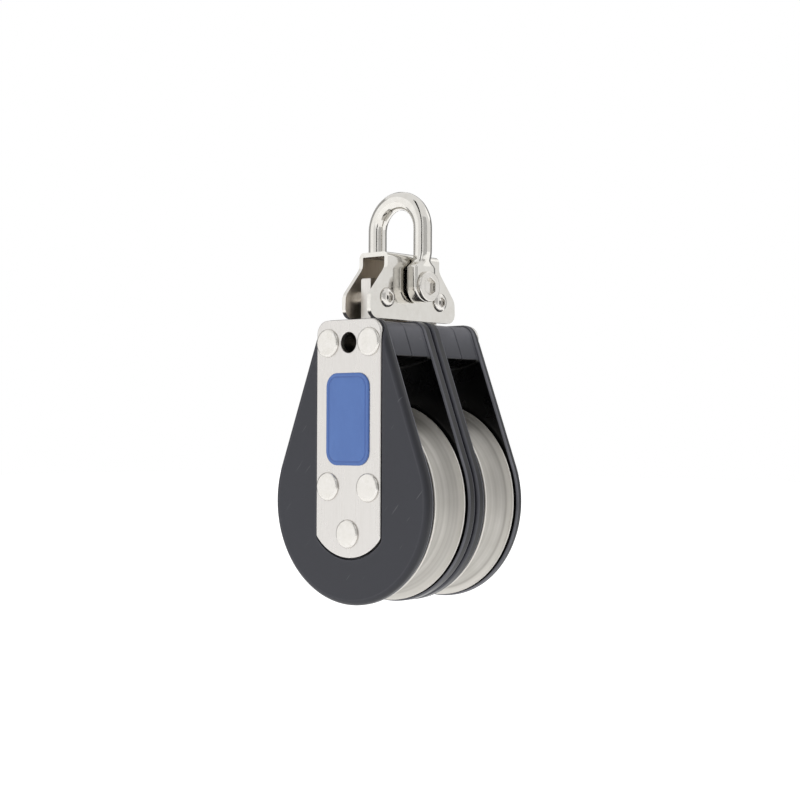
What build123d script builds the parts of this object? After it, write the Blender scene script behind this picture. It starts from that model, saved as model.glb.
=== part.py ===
"""Double sheave block: two ball-bearing sheaves side by side between moulded
cheeks, held by riveted steel straps under a folded saddle and a bow shackle.

Millimetres.  The origin is the inside of the shackle's crown, where the eye
that carries the block bears.  +Z runs up through the shackle, the sheaves
turn about Y, and the front half of the block lies towards -Y.
"""

import math
import os

from build123d import *

os.makedirs("parts", exist_ok=True)

# Heights down from the bearing point of the shackle.
pin_drop = 23.0
axle_drop = 85.1

# Sheaves.  Every across-the-block distance is measured from the mid-plane.
sheave_radius = 28.5
sheave_width = 13.4
sheave_middle = 11.3
groove_floor_radius = 23.5
groove_arc = 6.25
rim_round = 0.25
side_recess_inner = 19.6
side_recess_outer = 25.6
side_recess_depth = 0.8

# Ball bearing of each sheave.
ball_radius = 2.4
ball_circle = 14.6
ball_count = 16
track_arc = 2.5
sheave_bore = 15.8
cage_inner, cage_outer = 13.8, 15.4
cage_width = 3.2
race_radius = 13.4
race_bore = 4.0
retainer_inner, retainer_outer = 13.75, 18.0
retainer_thickness = 1.0

# Moulded cheeks: a disc with two tangents running up to a narrow crown.
cheek_radius = 29.0
cheek_taper = 20.7
crown_top = 52.0
crown_corner = 3.0
outer_cheek_inside = 19.0
outer_cheek_outside = 21.9
inner_cheek_inside = 0.5
inner_cheek_outside = 3.6
outer_edge_round = 1.5
inner_edge_round = 0.7
sheave_edge_chamfer = 0.4
crown_inset = 0.7
crown_underside = 39.0
crown_underside_arc = 45.7
seam_chamfer = 0.3

# Straps.
strap_half_width = 12.2
strap_top = 51.8
strap_corner = 4.0
strap_foot_radius = 15.6
strap_inside = 20.75
strap_outside = 22.25
strap_edge_round = 0.35
pocket_gap = 0.15
pocket_foot_gap = 0.5
centre_strap_half_width = 11.0
centre_strap_top = 50.0
centre_strap_foot_radius = 14.0

# Rivets: two through the crown, three round the hub.
crown_rivet_offset = 7.8
crown_rivet_height = 45.3
hub_rivet_circle = 8.8
hub_rivet_angles = {"right": 30, "left": 150, "bottom": 270}
rivet_radius = 2.0
rivet_hole = 2.05
rivet_head_radius = 4.1
rivet_head_height = 0.9
rivet_head_round = 0.8

# Through hole of the becket, lined by a sleeve between the side straps.
becket_radius = 2.95
sleeve_radius = 3.5
sleeve_hole = 3.55

# Badge on each side strap.
badge_width, badge_height = 16.1, 26.2
badge_corner = 4.0
badge_middle = 23.6
badge_thickness = 0.5
badge_edge_round = 0.3

# Head lugs: a wide foot inside each crown and a neck up into the saddle.
lug_middle = 11.8
lug_foot_half_width = 10.6
lug_foot_low, lug_foot_high = 41.0, 49.6
lug_foot_thickness = 4.4
lug_foot_corner = 3.0
lug_neck_half_width = 1.8
lug_neck_depth = 6.2
lug_top = 64.1
lug_top_round = 0.6
lug_clearance = 0.05

# Saddle: sheet folded to an upside-down U, flanges facing left and right.
saddle_half_width = 5.46
saddle_sheet = 1.35
saddle_top = 71.8
saddle_bottom = 52.4
saddle_top_half_length = 11.6
saddle_shoulder = 67.3
saddle_knee = 59.0
saddle_knee_half_length = 18.9
saddle_foot_half_length = 19.2
saddle_foot_corner = 3.2
saddle_knee_round = 2.4
saddle_shoulder_round = 1.5
saddle_bend = 1.6
saddle_inner_bend = 0.5

# Cross screws, each in a barrel nut through one head lug.
screw_height = 58.5
barrel_radius = 2.5
barrel_hole = 2.55
screw_radius = 1.5
screw_bore = 1.55
button_radius = 2.85
button_height = 1.1
button_round = 0.8
socket_across_flats = 2.5
socket_depth = 0.9

# Shackle.
rod_radius = 2.7
leg_offset = 8.7
eye_radius = 4.6
eye_inside, eye_outside = 6.0, 10.4
eye_rise = 6.5
rod_start = 4.8
shackle_pin_radius = 2.5
shackle_pin_hole = 2.55
saddle_pin_hole = 2.58
pin_head_radius = 4.4
pin_head_thickness = 1.3
pin_head_chamfer = 0.3
pin_socket_across_flats = 4.5
pin_socket_depth = 1.1

# Sketch planes facing -Y and +X whose own origin is on the sheaves' axis.
axle_plane = Plane(origin=(0, 0, -axle_drop), x_dir=(1, 0, 0), z_dir=(0, -1, 0))
saddle_plane = Plane(origin=(0, 0, -axle_drop), x_dir=(0, 1, 0), z_dir=(1, 0, 0))
pin_height = axle_drop - pin_drop
beyond = 60.0
halves = {"front": 1, "rear": -1}
crown_rivets = {"left": (-crown_rivet_offset, crown_rivet_height),
                "right": (crown_rivet_offset, crown_rivet_height)}
hub_rivets = {
    place: (hub_rivet_circle * math.cos(math.radians(angle)),
            hub_rivet_circle * math.sin(math.radians(angle)))
    for place, angle in hub_rivet_angles.items()
}
rivet_places = [*crown_rivets.values(), *hub_rivets.values()]


# Shared outlines --------------------------------------------------------------

taper = math.radians(cheek_taper)
tangent_across = cheek_radius * math.cos(taper)
tangent_height = cheek_radius * math.sin(taper)
crown_half_width = cheek_radius / math.cos(taper) - crown_top * math.tan(taper)

with BuildSketch() as cheek_outline:
    with BuildLine():
        crown_edge = Line((-crown_half_width, crown_top), (crown_half_width, crown_top))
        right_side = Line(crown_edge @ 1, (tangent_across, tangent_height))
        round_foot = ThreePointArc(
            right_side @ 1, (0, -cheek_radius), (-tangent_across, tangent_height)
        )
        Line(round_foot @ 1, crown_edge @ 0)
    make_face()
    fillet(cheek_outline.vertices().group_by(Axis.Y)[-1], radius=crown_corner)


def strap_outline(half_width, top, foot_radius, corner):
    """Return a strap's face: straight sides on a round foot about the axle."""
    foot_height = -math.sqrt(foot_radius**2 - half_width**2)
    with BuildSketch() as outline:
        with BuildLine():
            top_edge = Line((-half_width, top), (half_width, top))
            right_edge = Line(top_edge @ 1, (half_width, foot_height))
            foot = ThreePointArc(
                right_edge @ 1, (0, -foot_radius), (-half_width, foot_height)
            )
            Line(foot @ 1, top_edge @ 0)
        make_face()
        fillet(outline.vertices().group_by(Axis.Y)[-1], radius=corner)
    return outline.sketch


side_strap_face = strap_outline(
    strap_half_width, strap_top, strap_foot_radius, strap_corner
)
centre_strap_face = strap_outline(
    centre_strap_half_width, centre_strap_top, centre_strap_foot_radius, strap_corner
)
pocket_face = strap_outline(
    strap_half_width + pocket_gap,
    crown_top + pocket_gap,
    strap_foot_radius + pocket_foot_gap,
    strap_corner,
)

with BuildSketch() as rivet_holes:
    with Locations(*rivet_places):
        Circle(rivet_hole)

with BuildSketch() as through_holes:
    add(rivet_holes.sketch)
    with Locations((0, crown_rivet_height)):
        Circle(sleeve_hole)


# Shackle ----------------------------------------------------------------------

bow_centre = -(leg_offset - rod_radius)

with BuildPart() as shackle_bow:
    with BuildLine(Plane.XZ) as bow_path:
        left_leg = Line((-leg_offset, rod_start - pin_drop), (-leg_offset, bow_centre))
        crown_arc = ThreePointArc(
            left_leg @ 1, (0, bow_centre + leg_offset), (leg_offset, bow_centre)
        )
        Line(crown_arc @ 1, (leg_offset, rod_start - pin_drop))
    with BuildSketch(Plane.XY.offset(rod_start - pin_drop)):
        with Locations((-leg_offset, 0)):
            Circle(rod_radius)
    sweep(path=bow_path.wires()[0])
    for direction in (-1, 1):
        with BuildSketch(saddle_plane.offset(direction * eye_inside)):
            with Locations((0, pin_height)):
                Circle(eye_radius)
            with Locations((0, pin_height + eye_rise / 2)):
                Rectangle(2 * eye_radius, eye_rise)
        extrude(amount=direction * (eye_outside - eye_inside))
    with BuildSketch(saddle_plane):
        with Locations((0, pin_height)):
            Circle(shackle_pin_hole)
    extrude(amount=beyond, both=True, mode=Mode.SUBTRACT)
    with BuildSketch(saddle_plane.offset(eye_outside)):
        with Locations((0, pin_height)):
            Circle(pin_head_radius + shackle_pin_hole - shackle_pin_radius)
    extrude(amount=pin_head_thickness, mode=Mode.SUBTRACT)

shackle_bow.part.label = "shackle_bow"
export_step(shackle_bow.part, "parts/shackle_bow.step")

with BuildPart() as shackle_pin:
    with BuildSketch(saddle_plane.offset(-eye_outside)):
        with Locations((0, pin_height)):
            Circle(shackle_pin_radius)
    extrude(amount=2 * eye_outside)
    chamfer(shackle_pin.edges().group_by(Axis.X)[0], length=pin_head_chamfer)
    with BuildSketch(saddle_plane.offset(eye_outside)):
        with Locations((0, pin_height)):
            Circle(pin_head_radius)
    extrude(amount=pin_head_thickness)
    chamfer(shackle_pin.edges().group_by(Axis.X)[-1], length=pin_head_chamfer)
    with BuildSketch(saddle_plane.offset(eye_outside + pin_head_thickness)):
        with Locations((0, pin_height)):
            RegularPolygon(pin_socket_across_flats / 2, 6, major_radius=False)
    extrude(amount=-pin_socket_depth, mode=Mode.SUBTRACT)

shackle_pin.part.label = "shackle_pin"
export_step(shackle_pin.part, "parts/shackle_pin.step")


# Head saddle ------------------------------------------------------------------

with BuildPart() as head_saddle:
    with BuildSketch(saddle_plane) as flange:
        with BuildLine():
            Polyline(
                (-saddle_top_half_length, saddle_top),
                (saddle_top_half_length, saddle_top),
                (saddle_top_half_length, saddle_shoulder),
                (saddle_knee_half_length, saddle_knee),
                (saddle_foot_half_length, saddle_bottom),
                (-saddle_foot_half_length, saddle_bottom),
                (-saddle_knee_half_length, saddle_knee),
                (-saddle_top_half_length, saddle_shoulder),
                close=True,
            )
        make_face()
        levels = flange.vertices().group_by(Axis.Y)
        foot_corners, knees, shoulders = levels[0], levels[1], levels[2]
        fillet(foot_corners, radius=saddle_foot_corner)
        fillet(knees, radius=saddle_knee_round)
        fillet(shoulders, radius=saddle_shoulder_round)
    extrude(amount=saddle_half_width, both=True)
    folds = head_saddle.edges().filter_by(Axis.Y).group_by(Axis.Z)[-1]
    fillet(folds, radius=saddle_bend)
    channel_height = saddle_top - saddle_sheet
    with BuildSketch(axle_plane):
        with Locations((0, channel_height / 2)):
            channel = Rectangle(2 * (saddle_half_width - saddle_sheet), channel_height)
        fillet(channel.vertices().group_by(Axis.Y)[-1], radius=saddle_inner_bend)
    extrude(amount=beyond, both=True, mode=Mode.SUBTRACT)
    with BuildSketch(saddle_plane):
        with Locations((0, pin_height)):
            Circle(saddle_pin_hole)
        with Locations((-lug_middle, screw_height), (lug_middle, screw_height)):
            Circle(barrel_hole)
    extrude(amount=beyond, both=True, mode=Mode.SUBTRACT)

head_saddle.part.label = "head_saddle"
export_step(head_saddle.part, "parts/head_saddle.step")


# Cross screws and their barrel nuts -------------------------------------------

for half, side in halves.items():
    screw_plane = Plane(
        origin=(0, -side * lug_middle, screw_height - axle_drop),
        x_dir=(0, 1, 0),
        z_dir=(1, 0, 0),
    )
    with BuildPart() as barrel_nut:
        with BuildSketch(screw_plane.offset(-saddle_half_width)):
            Circle(barrel_radius)
        extrude(amount=2 * saddle_half_width)
        with BuildSketch(screw_plane.offset(-saddle_half_width)):
            Circle(button_radius)
        extrude(amount=-button_height)
        fillet(barrel_nut.edges().group_by(Axis.X)[0], radius=button_round)
        with BuildSketch(screw_plane.offset(saddle_half_width)):
            Circle(screw_bore)
        extrude(amount=-2 * saddle_half_width + saddle_sheet, mode=Mode.SUBTRACT)

    barrel_nut.part.label = f"{half}_barrel_nut"
    export_step(barrel_nut.part, f"parts/{half}_barrel_nut.step")

    with BuildPart() as cross_screw:
        with BuildSketch(screw_plane.offset(saddle_half_width)):
            Circle(button_radius)
        extrude(amount=button_height)
        fillet(cross_screw.edges().group_by(Axis.X)[-1], radius=button_round)
        with BuildSketch(screw_plane.offset(saddle_half_width)):
            Circle(screw_radius)
        extrude(amount=-2 * saddle_half_width + 2 * saddle_sheet)
        with BuildSketch(screw_plane.offset(saddle_half_width + button_height)):
            RegularPolygon(socket_across_flats / 2, 6, major_radius=False)
        extrude(amount=-socket_depth, mode=Mode.SUBTRACT)

    cross_screw.part.label = f"{half}_cross_screw"
    export_step(cross_screw.part, f"parts/{half}_cross_screw.step")


# Head lugs --------------------------------------------------------------------

lug_foot_height = lug_foot_high - lug_foot_low
lug_foot_middle = (lug_foot_high + lug_foot_low) / 2

for half, side in halves.items():
    with BuildPart() as head_lug:
        with BuildSketch(axle_plane.offset(side * lug_middle)):
            with Locations((0, lug_foot_middle)):
                RectangleRounded(
                    2 * lug_foot_half_width, lug_foot_height, lug_foot_corner
                )
        extrude(amount=lug_foot_thickness / 2, both=True)
        with BuildSketch(axle_plane.offset(side * lug_middle)):
            with Locations((0, (lug_foot_high + lug_top) / 2)):
                Rectangle(2 * lug_neck_half_width, lug_top - lug_foot_high)
        extrude(amount=lug_neck_depth / 2, both=True)
        fillet(head_lug.edges().group_by(Axis.Z)[-1], radius=lug_top_round)
        with BuildSketch(saddle_plane):
            with Locations((-side * lug_middle, screw_height)):
                Circle(barrel_hole)
        extrude(amount=beyond, both=True, mode=Mode.SUBTRACT)
        with BuildSketch(axle_plane):
            add(through_holes.sketch)
        extrude(amount=beyond, both=True, mode=Mode.SUBTRACT)

    head_lug.part.label = f"{half}_head_lug"
    export_step(head_lug.part, f"parts/{half}_head_lug.step")


# Cheeks -----------------------------------------------------------------------

with BuildSketch() as crown_section:
    add(cheek_outline.sketch)
    offset(amount=-crown_inset)
    with Locations((0, crown_underside + crown_underside_arc)):
        Circle(crown_underside_arc, mode=Mode.INTERSECT)

for half, side in halves.items():
    with BuildPart() as outer_cheek:
        with BuildSketch(axle_plane.offset(side * outer_cheek_inside)):
            add(cheek_outline.sketch)
        extrude(amount=side * (outer_cheek_outside - outer_cheek_inside))
        by_depth = outer_cheek.faces().sort_by(Axis.Y, reverse=side < 0)
        fillet(by_depth[0].outer_wire().edges(), radius=outer_edge_round)
        by_depth = outer_cheek.faces().sort_by(Axis.Y, reverse=side < 0)
        chamfer(by_depth[-1].outer_wire().edges(), length=sheave_edge_chamfer)
        with BuildSketch(axle_plane.offset(side * sheave_middle)):
            add(crown_section.sketch)
        extrude(amount=side * (outer_cheek_inside - sheave_middle))
        by_depth = outer_cheek.faces().sort_by(Axis.Y, reverse=side < 0)
        chamfer(by_depth[-1].outer_wire().edges(), length=seam_chamfer)
        with BuildSketch(axle_plane.offset(side * strap_inside)):
            add(pocket_face)
        extrude(amount=side * strap_inside, mode=Mode.SUBTRACT)
        with BuildSketch(axle_plane):
            add(through_holes.sketch)
        extrude(amount=side * beyond, mode=Mode.SUBTRACT)
        with BuildSketch(axle_plane.offset(side * lug_middle)):
            with Locations((0, lug_foot_middle)):
                RectangleRounded(
                    2 * (lug_foot_half_width + lug_clearance),
                    lug_foot_height + 2 * lug_clearance,
                    lug_foot_corner,
                )
        extrude(amount=lug_foot_thickness / 2, both=True, mode=Mode.SUBTRACT)
        with BuildSketch(axle_plane.offset(side * lug_middle)):
            with Locations((0, (lug_foot_high + lug_top) / 2)):
                Rectangle(
                    2 * (lug_neck_half_width + lug_clearance), lug_top - lug_foot_high
                )
        extrude(amount=lug_neck_depth / 2, both=True, mode=Mode.SUBTRACT)

    outer_cheek.part.label = f"{half}_outer_cheek"
    export_step(outer_cheek.part, f"parts/{half}_outer_cheek.step")

    with BuildPart() as inner_cheek:
        with BuildSketch(axle_plane.offset(side * inner_cheek_inside)):
            add(cheek_outline.sketch)
        extrude(amount=side * (inner_cheek_outside - inner_cheek_inside))
        by_depth = inner_cheek.faces().sort_by(Axis.Y, reverse=side < 0)
        chamfer(by_depth[0].outer_wire().edges(), length=sheave_edge_chamfer)
        by_depth = inner_cheek.faces().sort_by(Axis.Y, reverse=side < 0)
        fillet(by_depth[-1].outer_wire().edges(), radius=inner_edge_round)
        with BuildSketch(axle_plane.offset(side * inner_cheek_outside)):
            add(crown_section.sketch)
        extrude(amount=side * (sheave_middle - inner_cheek_outside))
        by_depth = inner_cheek.faces().sort_by(Axis.Y, reverse=side < 0)
        chamfer(by_depth[0].outer_wire().edges(), length=seam_chamfer)
        with BuildSketch(axle_plane):
            add(through_holes.sketch)
        extrude(amount=side * beyond, mode=Mode.SUBTRACT)
        with BuildSketch(axle_plane.offset(side * lug_middle)):
            with Locations((0, lug_foot_middle)):
                RectangleRounded(
                    2 * (lug_foot_half_width + lug_clearance),
                    lug_foot_height + 2 * lug_clearance,
                    lug_foot_corner,
                )
        extrude(amount=lug_foot_thickness / 2, both=True, mode=Mode.SUBTRACT)
        with BuildSketch(axle_plane.offset(side * lug_middle)):
            with Locations((0, (lug_foot_high + lug_top) / 2)):
                Rectangle(
                    2 * (lug_neck_half_width + lug_clearance), lug_top - lug_foot_high
                )
        extrude(amount=lug_neck_depth / 2, both=True, mode=Mode.SUBTRACT)

    inner_cheek.part.label = f"{half}_inner_cheek"
    export_step(inner_cheek.part, f"parts/{half}_inner_cheek.step")


# Straps -----------------------------------------------------------------------

for half, side in halves.items():
    with BuildPart() as side_strap:
        with BuildSketch(axle_plane.offset(side * strap_inside)):
            add(side_strap_face)
        extrude(amount=side * (strap_outside - strap_inside))
        by_depth = side_strap.faces().sort_by(Axis.Y, reverse=side < 0)
        fillet(by_depth[0].outer_wire().edges(), radius=strap_edge_round)
        with BuildSketch(axle_plane):
            add(rivet_holes.sketch)
            with Locations((0, crown_rivet_height)):
                Circle(becket_radius)
        extrude(amount=side * beyond, mode=Mode.SUBTRACT)

    side_strap.part.label = f"{half}_side_strap"
    export_step(side_strap.part, f"parts/{half}_side_strap.step")

with BuildPart() as centre_strap:
    with BuildSketch(axle_plane):
        add(centre_strap_face)
    extrude(amount=inner_cheek_inside, both=True)
    with BuildSketch(axle_plane):
        add(through_holes.sketch)
    extrude(amount=beyond, both=True, mode=Mode.SUBTRACT)

centre_strap.part.label = "centre_strap"
export_step(centre_strap.part, "parts/centre_strap.step")


# Rivets and becket sleeve -----------------------------------------------------

named_rivets = {f"crown_rivet_{place}": spot for place, spot in crown_rivets.items()}
named_rivets |= {f"hub_rivet_{place}": spot for place, spot in hub_rivets.items()}

for node, spot in named_rivets.items():
    with BuildPart() as rivet:
        with BuildSketch(axle_plane):
            with Locations(spot):
                Circle(rivet_radius)
        extrude(amount=strap_outside, both=True)
        for direction in (-1, 1):
            with BuildSketch(axle_plane.offset(direction * strap_outside)):
                with Locations(spot):
                    Circle(rivet_head_radius)
            extrude(amount=direction * rivet_head_height)
        for crown in (0, -1):
            fillet(rivet.edges().group_by(Axis.Y)[crown], radius=rivet_head_round)

    rivet.part.label = node
    export_step(rivet.part, f"parts/{node}.step")

with BuildPart() as becket_sleeve:
    with BuildSketch(axle_plane):
        with Locations((0, crown_rivet_height)):
            Circle(sleeve_radius)
            Circle(becket_radius, mode=Mode.SUBTRACT)
    extrude(amount=strap_inside, both=True)

becket_sleeve.part.label = "becket_sleeve"
export_step(becket_sleeve.part, "parts/becket_sleeve.step")


# Badges -----------------------------------------------------------------------

for half, side in halves.items():
    with BuildPart() as badge:
        with BuildSketch(axle_plane.offset(side * strap_outside)):
            with Locations((0, badge_middle)):
                RectangleRounded(badge_width, badge_height, badge_corner)
        extrude(amount=side * badge_thickness)
        by_depth = badge.faces().sort_by(Axis.Y, reverse=side < 0)
        fillet(by_depth[0].outer_wire().edges(), radius=badge_edge_round)

    badge.part.label = f"{half}_badge"
    export_step(badge.part, f"parts/{half}_badge.step")


# Sheaves and their bearings ---------------------------------------------------

race_half_width = (outer_cheek_inside - inner_cheek_outside) / 2
retainer_middle = (sheave_width - retainer_thickness) / 2

for half, side in halves.items():
    section_plane = Plane(
        origin=(0, -side * sheave_middle, -axle_drop), x_dir=(0, 1, 0), z_dir=(1, 0, 0)
    )
    turning_axis = Axis((0, -side * sheave_middle, -axle_drop), (0, 1, 0))

    with BuildPart() as sheave:
        with BuildSketch(section_plane) as sheave_section:
            with Locations((0, (sheave_radius + sheave_bore) / 2)):
                Rectangle(sheave_width, sheave_radius - sheave_bore)
            with Locations((0, groove_floor_radius + groove_arc)):
                Circle(groove_arc, mode=Mode.SUBTRACT)
            fillet(sheave_section.vertices().group_by(Axis.Y)[-1], radius=rim_round)
            with Locations((0, ball_circle)):
                Circle(track_arc, mode=Mode.SUBTRACT)
            for end in (-1, 1):
                with Locations((end * retainer_middle, retainer_outer / 2)):
                    Rectangle(retainer_thickness, retainer_outer, mode=Mode.SUBTRACT)
                with Locations((end * sheave_width / 2,
                                (side_recess_inner + side_recess_outer) / 2)):
                    Rectangle(
                        2 * side_recess_depth,
                        side_recess_outer - side_recess_inner,
                        mode=Mode.SUBTRACT,
                    )
        revolve(axis=turning_axis)

    sheave.part.label = f"{half}_sheave"
    export_step(sheave.part, f"parts/{half}_sheave.step")

    for face, end in (("outer", -side), ("inner", side)):
        with BuildPart() as retainer:
            with BuildSketch(section_plane):
                with Locations((end * retainer_middle,
                                (retainer_outer + retainer_inner) / 2)):
                    Rectangle(retainer_thickness, retainer_outer - retainer_inner)
            revolve(axis=turning_axis)

        retainer.part.label = f"{half}_{face}_ball_retainer"
        export_step(retainer.part, f"parts/{half}_{face}_ball_retainer.step")

    middle_plane = axle_plane.offset(side * sheave_middle)
    with BuildPart() as ball_set:
        with BuildSketch(middle_plane):
            Circle(cage_outer)
            Circle(cage_inner, mode=Mode.SUBTRACT)
        extrude(amount=cage_width / 2, both=True)
        with Locations(middle_plane):
            with PolarLocations(ball_circle, ball_count):
                Sphere(ball_radius)

    ball_set.part.label = f"{half}_ball_set"
    export_step(ball_set.part, f"parts/{half}_ball_set.step")

    with BuildPart() as inner_race:
        with BuildSketch(section_plane):
            with Locations((0, (race_radius + race_bore) / 2)):
                Rectangle(2 * race_half_width, race_radius - race_bore)
            with Locations((0, ball_circle)):
                Circle(track_arc, mode=Mode.SUBTRACT)
        revolve(axis=turning_axis)
        with BuildSketch(axle_plane):
            add(rivet_holes.sketch)
        extrude(amount=beyond, both=True, mode=Mode.SUBTRACT)

    inner_race.part.label = f"{half}_inner_race"
    export_step(inner_race.part, f"parts/{half}_inner_race.step")
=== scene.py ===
"""Looks of a double sheave block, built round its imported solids.

Metres, in the frame of the solids: +Z runs up through the shackle, the
sheaves turn about Y, and the front half of the block lies towards -Y.  Sizes
in the classes are in millimetres, and heights are above the sheaves' axis.
"""

import logging
import math
from dataclasses import dataclass
from enum import Enum

import bmesh
import bpy
import numpy as np
from mathutils import Matrix, Vector

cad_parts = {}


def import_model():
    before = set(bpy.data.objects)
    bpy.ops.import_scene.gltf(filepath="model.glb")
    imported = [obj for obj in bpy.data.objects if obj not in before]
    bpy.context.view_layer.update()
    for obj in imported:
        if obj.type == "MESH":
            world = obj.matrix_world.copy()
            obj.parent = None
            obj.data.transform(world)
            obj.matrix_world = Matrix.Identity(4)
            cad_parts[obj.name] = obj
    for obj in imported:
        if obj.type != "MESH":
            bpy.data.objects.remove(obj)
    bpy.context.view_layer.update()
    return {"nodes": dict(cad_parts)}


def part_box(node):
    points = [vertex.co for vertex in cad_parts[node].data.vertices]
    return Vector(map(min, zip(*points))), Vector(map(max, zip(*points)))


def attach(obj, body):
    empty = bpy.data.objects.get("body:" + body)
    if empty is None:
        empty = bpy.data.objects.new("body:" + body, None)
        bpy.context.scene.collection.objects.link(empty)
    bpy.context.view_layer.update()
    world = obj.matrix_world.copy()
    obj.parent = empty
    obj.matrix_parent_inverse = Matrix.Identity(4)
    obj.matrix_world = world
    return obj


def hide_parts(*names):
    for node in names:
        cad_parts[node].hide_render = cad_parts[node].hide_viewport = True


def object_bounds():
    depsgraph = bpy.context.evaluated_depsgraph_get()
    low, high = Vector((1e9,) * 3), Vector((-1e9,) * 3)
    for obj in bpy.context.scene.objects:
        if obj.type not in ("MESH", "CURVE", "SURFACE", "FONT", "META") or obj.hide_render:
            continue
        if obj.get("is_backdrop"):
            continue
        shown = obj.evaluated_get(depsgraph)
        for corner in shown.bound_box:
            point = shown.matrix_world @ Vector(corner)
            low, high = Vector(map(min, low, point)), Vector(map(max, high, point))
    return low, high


Array = np.ndarray
Spot = tuple[float, float]  # mm across and up, or any other pair
Size = tuple[float, float, float]  # mm along x, y and z
Value = float | Array  # one number, or one for each ray
Station = tuple[Value, Value, Value]  # a ring's reach, depth and wear
Material = bpy.types.Material
Object = bpy.types.Object
Node = bpy.types.Node
Socket = bpy.types.NodeSocket
Tree = bpy.types.NodeTree

LOG = logging.getLogger("double_block")
MM = 0.001
# Name of the per-point value that the finishes read for wear, painted highlights and painted
# shade.
WEAR_AND_LIGHT = "wear_and_light"
HALVES = {"front": -1.0, "rear": 1.0}
FARTHEST = 200.0  # mm from a ray's start, past every outline
HALVINGS = 44
FINER = 20  # how many fine rays measure an outline for each one kept
MERGED = 2e-7  # m, points closer than this are one
SAME_RING = 0.002  # mm, rings closer than this coincide
CLOUD = (0.3, 0.7)  # the span that most values of a noise lie in


# Shapes -----------------------------------------------------------------------


class Ends(Enum):
    """How the first and last rings of a loft are closed."""

    LOOP = "the last ring joins the first, through a hole"
    POLES = "each of the two rings closes on its own middle"


@dataclass(frozen=True)
class Place:
    """A working plane: where its origin is and which way its three axes run."""

    origin: Vector
    across: Vector
    up: Vector
    outward: Vector

    def points(self, local: Array) -> Array:
        """Return (n, 3) points in metres for (across, up, outward) in mm."""
        axes = np.array([self.across, self.up, self.outward], float)
        return np.array(self.origin, float) + MM * local @ axes


@dataclass(frozen=True)
class Outline:
    """A convex outline, given by its signed distance (negative inside)."""

    def distance(self, across: Array, up: Array) -> Array:
        """Return the signed distance of points from the outline, in mm."""
        raise NotImplementedError

    def reach(self, centre: Spot, angles: Array, inset: float = 0.0) -> Array:
        """Return how far each ray runs before it meets the outline.

        The ray from the centre at angle a is halved again and again between a
        point inside the inset outline and one outside it.

        Args:
            centre: A point inside the outline, in mm.
            angles: The rays' angles from the across axis, in radians.
            inset: How far inside the outline to stop, in mm; outside if negative.

        Returns:
            One length in mm for each angle.
        """
        near = np.zeros_like(angles)
        far = np.full_like(angles, FARTHEST)
        for _ in range(HALVINGS):
            middle = (near + far) / 2
            across = centre[0] + middle * np.cos(angles)
            up = centre[1] + middle * np.sin(angles)
            inside = self.distance(across, up) < -inset
            near = np.where(inside, middle, near)
            far = np.where(inside, far, middle)
        return near


def rounded_most(first: Array, second: Array, corner: float) -> Array:
    """Return the larger of two distances, with a round where they are equal.

    With a and b the distances and r the corner's radius, it is
    min(max(a + r, b + r), 0) + hypot(max(a + r, 0), max(b + r, 0)) - r.

    Args:
        first: Signed distance from one edge.
        second: Signed distance from the other edge.
        corner: Radius of the corner between them, in mm.

    Returns:
        The signed distance from the two edges taken together.
    """
    a, b = first + corner, second + corner
    outside = np.hypot(np.maximum(a, 0), np.maximum(b, 0))
    return np.minimum(np.maximum(a, b), 0) + outside - corner


@dataclass(frozen=True)
class Circle(Outline):
    """A circle about a point."""

    radius: float
    at: Spot = (0.0, 0.0)

    def distance(self, across: Array, up: Array) -> Array:
        """Distance from the point, less the radius."""
        return np.hypot(across - self.at[0], up - self.at[1]) - self.radius


@dataclass(frozen=True)
class Hexagon(Outline):
    """A regular hexagon about the origin, with two flats upright."""

    across_flats: float
    corner: float = 0.12

    def distance(self, across: Array, up: Array) -> Array:
        """The largest of the distances from the three pairs of flats."""
        half = self.across_flats / 2
        lean = math.radians(60)
        upright = np.abs(across) - half
        rising = np.abs(across * math.cos(lean) + up * math.sin(lean)) - half
        falling = np.abs(across * math.cos(lean) - up * math.sin(lean)) - half
        two_pairs = rounded_most(upright, rising, self.corner)
        return rounded_most(two_pairs, falling, self.corner)


@dataclass(frozen=True)
class RoundedPanel(Outline):
    """An upright rectangle with round corners."""

    width: float
    height: float
    corner: float
    at: Spot = (0.0, 0.0)

    def distance(self, across: Array, up: Array) -> Array:
        """Distances from the sides and from the ends, with a rounded corner."""
        return rounded_most(
            np.abs(across - self.at[0]) - self.width / 2,
            np.abs(up - self.at[1]) - self.height / 2,
            self.corner,
        )


@dataclass(frozen=True)
class Teardrop(Outline):
    """The cheek's outline: a disc with two tangents up to a narrow crown."""

    radius: float = 29.0
    taper: float = 20.7
    top: float = 52.0
    corner: float = 3.0

    def distance(self, across: Array, up: Array) -> Array:
        """Distance from the tangents above their feet and from the disc below."""
        lean = math.radians(self.taper)
        side = np.abs(across)
        along = up * math.cos(lean) - side * math.sin(lean)
        tangent = side * math.cos(lean) + up * math.sin(lean) - self.radius
        disc = np.hypot(across, up) - self.radius
        sides = np.where(along > 0, tangent, disc)
        return rounded_most(sides, up - self.top, self.corner)


@dataclass(frozen=True)
class CrownSection(Outline):
    """The block between two cheeks: the inset teardrop above a round underside."""

    cheek: Teardrop
    inset: float = 0.7
    underside: float = 39.0
    underside_arc: float = 45.7
    corner: float = 0.8

    def distance(self, across: Array, up: Array) -> Array:
        """Distances from the inset teardrop and from the underside's circle."""
        teardrop = self.cheek.distance(across, up) + self.inset
        middle = self.underside + self.underside_arc
        circle = np.hypot(across, up - middle) - self.underside_arc
        return rounded_most(teardrop, circle, self.corner)


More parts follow.
